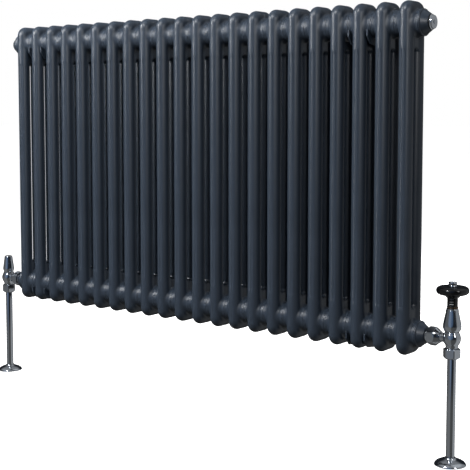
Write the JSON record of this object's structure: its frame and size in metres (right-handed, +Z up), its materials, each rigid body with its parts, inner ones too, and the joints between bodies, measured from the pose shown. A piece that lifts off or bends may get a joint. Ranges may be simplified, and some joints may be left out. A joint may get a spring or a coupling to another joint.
{
  "type": "radiator with valve",
  "caption": "Two-column steel tube radiator with a thermostatic valve, a lockshield valve, chrome pipe tails with floor plates, and wall brackets.",
  "frame": {"origin": "middle of the wall face of the upper left wall bracket, behind the second section", "axes": "+X along the radiator towards the thermostatic valve, +Y into the wall, +Z up; the room is on the -Y side"},
  "size_m": [1.1635, 0.1015, 0.778],
  "materials": {
    "paint": "satin anthracite powder coat",
    "chrome": "polished",
    "brass": "turned",
    "steel": "plain",
    "black_plastic": "gloss",
    "rubber": "matt"
  },
  "bodies": {
    "radiator": {"section_01": "paint", "section_02": "paint", "section_03": "paint", "section_04": "paint", "section_05": "paint", "section_06": "paint", "section_07": "paint", "section_08": "paint", "section_09": "paint", "section_10": "paint", "section_11": "paint", "section_12": "paint", "section_13": "paint", "section_14": "paint", "section_15": "paint", "section_16": "paint", "section_17": "paint", "section_18": "paint", "section_19": "paint", "section_20": "paint", "section_21": "paint", "section_22": "paint", "bush_top_left": "paint", "bush_top_right": "paint", "bush_bottom_left": "paint", "bush_bottom_right": "paint", "wall_bracket_upper_left": "paint", "wall_bracket_upper_right": "paint", "wall_bracket_lower_left": "paint", "wall_bracket_lower_right": "paint", "blanking_plug": "chrome", "air_vent_plug": "chrome", "trv_tailpiece": "chrome", "trv_union_nut": "chrome", "trv_body": "chrome", "trv_shroud": "chrome", "trv_compression_nut": "chrome", "supply_pipe": "chrome", "lockshield_tailpiece": "chrome", "lockshield_union_nut": "chrome", "lockshield_body": "chrome", "lockshield_compression_nut": "chrome", "return_pipe": "chrome", "trv_insert": "brass", "trv_olive": "brass", "lockshield_gland_nut": "brass", "lockshield_olive": "brass", "trv_return_spring": "steel", "trv_scale_neck": "black_plastic", "air_vent_seal": "rubber"},
    "trv_sensor": {"trv_sensor": "steel"},
    "trv_wheel": {"trv_handwheel": "black_plastic", "trv_finial": "chrome"},
    "trv_pin": {"trv_pin": "steel"},
    "bleed_screw": {"bleed_screw": "brass"},
    "lockshield_disc": {"lockshield_disc": "rubber"},
    "lockshield_spindle": {"lockshield_spindle": "brass"},
    "lockshield_cap": {"lockshield_cap": "chrome"},
    "floor_plate_left": {"floor_plate_left": "chrome"},
    "floor_plate_right": {"floor_plate_right": "chrome"}
  },
  "joints": [
    {"name": "trv_sensor_rise", "type": "slide", "parent": "radiator", "child": "trv_sensor", "axis": [0, 0, 1], "range_m": [-0.012, 0.002]},
    {"name": "trv_wheel_turn", "type": "hinge", "parent": "trv_sensor", "child": "trv_wheel", "pos_m": [0.982, -0.0707, -0.41], "axis": [0, 0, 1], "range_deg": [-1080, 180]},
    {"name": "trv_pin_travel", "type": "slide", "parent": "radiator", "child": "trv_pin", "axis": [0, 0, 1], "range_m": [-0.0031, 0.0006], "deforming": ["trv_return_spring"]},
    {"name": "bleed_screw_turn", "type": "hinge", "parent": "radiator", "child": "bleed_screw", "pos_m": [0.94, -0.0707, 0.035], "axis": [1, 0, 0], "range_deg": [0, 180]},
    {"name": "lockshield_disc_rise", "type": "slide", "parent": "radiator", "child": "lockshield_disc", "axis": [0, 0, 1], "range_m": [-0.003, 0.0015]},
    {"name": "lockshield_spindle_turn", "type": "hinge", "parent": "lockshield_disc", "child": "lockshield_spindle", "pos_m": [-0.127, -0.0707, -0.476], "axis": [0, 0, 1], "range_deg": [-720, 360]},
    {"name": "lockshield_cap_lift", "type": "slide", "parent": "radiator", "child": "lockshield_cap", "axis": [0, 0, 1], "range_m": [0, 0.06]},
    {"name": "floor_plate_left_lift", "type": "slide", "parent": "radiator", "child": "floor_plate_left", "axis": [0, 0, 1], "range_m": [0, 0.12]},
    {"name": "floor_plate_right_lift", "type": "slide", "parent": "radiator", "child": "floor_plate_right", "axis": [0, 0, 1], "range_m": [0, 0.12]}
  ],
  "couplings": [
    {"joint": "trv_wheel_turn", "follows": "trv_sensor_rise", "rad_per_m": 1570.8},
    {"joint": "trv_pin_travel", "follows": "trv_sensor_rise", "ratio": 0.25},
    {"joint": "lockshield_spindle_turn", "follows": "lockshield_disc_rise", "rad_per_m": 4188.8}
  ]
}
